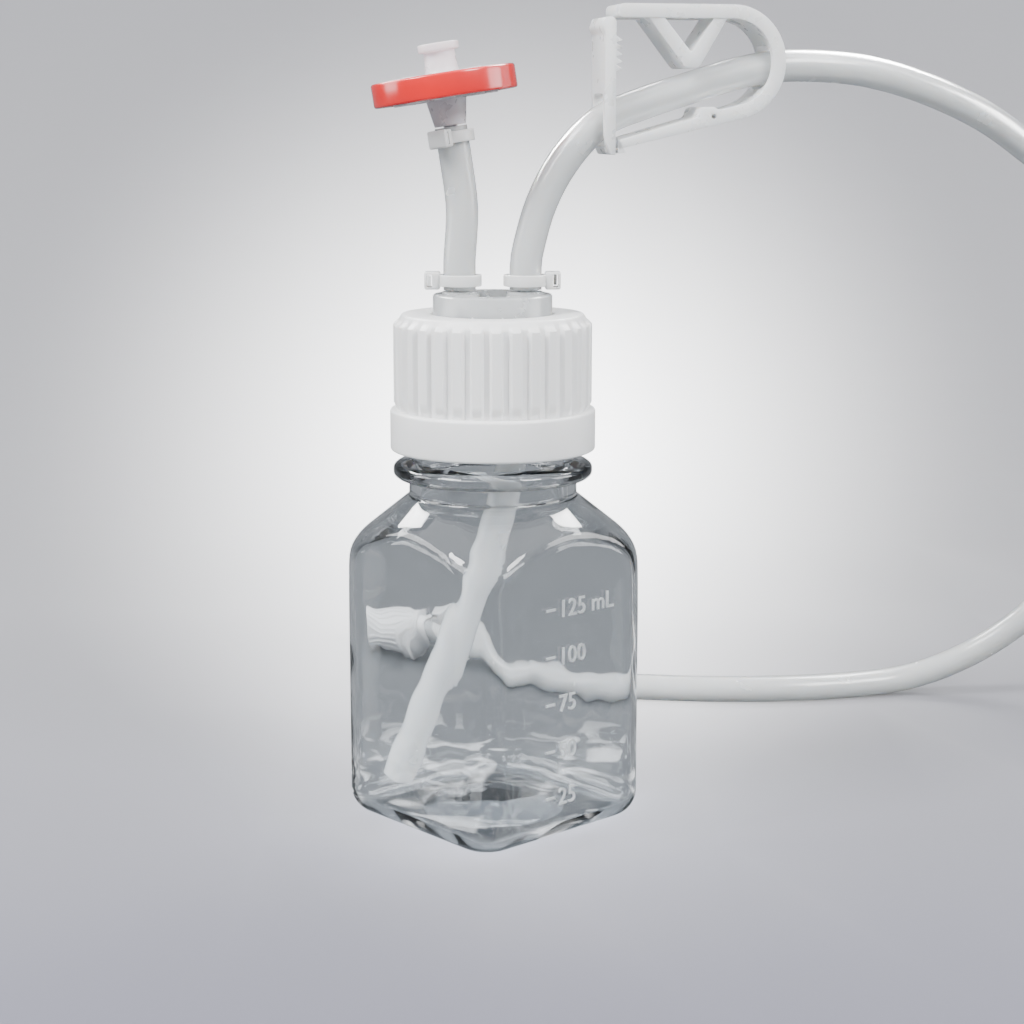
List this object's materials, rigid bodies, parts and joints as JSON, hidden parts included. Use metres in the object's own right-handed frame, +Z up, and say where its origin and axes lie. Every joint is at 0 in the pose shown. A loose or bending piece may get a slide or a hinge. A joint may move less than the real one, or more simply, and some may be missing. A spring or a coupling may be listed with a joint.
{
  "type": "media transfer bottle with dip tube, vent filter and pinch clamp",
  "caption": "Clear square lab bottle with a white screw cap, a filtered vent, a dip tube and a clamped silicone transfer tube.",
  "frame": {"origin": "on the ground under the centre of the square bottle", "axes": "+Z up; +X is the graduated face of the bottle; the two ports stand on a line turned 48.5 degrees from +X towards +Y"},
  "size_m": [0.1984, 0.201, 0.1787],
  "materials": {
    "clear_copolyester": "clear, glossy, alpha 0.25",
    "white_polypropylene": "satin",
    "natural_polypropylene": "translucent satin",
    "milky_silicone": "translucent satin",
    "seal_rubber": "matte",
    "white_nylon": "satin",
    "red_overmould": "translucent gloss",
    "filter_membrane": "matte"
  },
  "bodies": {
    "bottle": {"bottle": "clear_copolyester"},
    "closure": {"port_insert": "natural_polypropylene", "neck_gasket": "seal_rubber", "dip_tube": "milky_silicone", "vent_tube": "milky_silicone", "tie_vent_port": "white_nylon", "tie_transfer_port": "white_nylon", "filter_outlet_shell": "natural_polypropylene", "filter_inlet_shell": "natural_polypropylene", "filter_ring": "red_overmould", "filter_membrane": "filter_membrane", "tie_filter": "white_nylon", "transfer_tube": "milky_silicone", "clamp_base": "natural_polypropylene", "coupling_body": "white_polypropylene", "coupling_seal": "seal_rubber", "tie_coupling": "white_nylon"},
    "cap": {"screw_cap": "white_polypropylene"},
    "pinch_arm": {"clamp_arm": "natural_polypropylene"},
    "latch_post": {"clamp_post": "natural_polypropylene"},
    "plug_cap": {"coupling_cap": "white_polypropylene"}
  },
  "joints": [
    {"name": "closure_lift", "type": "slide", "parent": "bottle", "child": "closure", "axis": [0, 0, 1], "range_m": [0, 0.00635]},
    {"name": "cap_turn", "type": "hinge", "parent": "closure", "child": "cap", "pos_m": [0, 0, 0.09], "axis": [0, 0, 1], "range_deg": [0, 540]},
    {"name": "clamp_close", "type": "hinge", "parent": "closure", "child": "pinch_arm", "pos_m": [0.02948, 0.04906, 0.17365], "axis": [0.8704, -0.4924, 0], "range_deg": [0, 21], "deforming": ["transfer_tube"]},
    {"name": "latch_flex", "type": "hinge", "parent": "closure", "child": "latch_post", "pos_m": [0.01389, 0.0215, 0.1471], "axis": [0.8704, -0.4924, 0], "range_deg": [0, 8]},
    {"name": "plug_pull", "type": "slide", "parent": "closure", "child": "plug_cap", "axis": [-0.9617, -0.274, 0], "range_m": [0, 0.015]}
  ],
  "couplings": [
    {"joint": "closure_lift", "follows": "cap_turn", "m_per_rad": 0.00067371},
    {"joint": "latch_flex", "follows": "clamp_close", "ratio": 0.36}
  ]
}
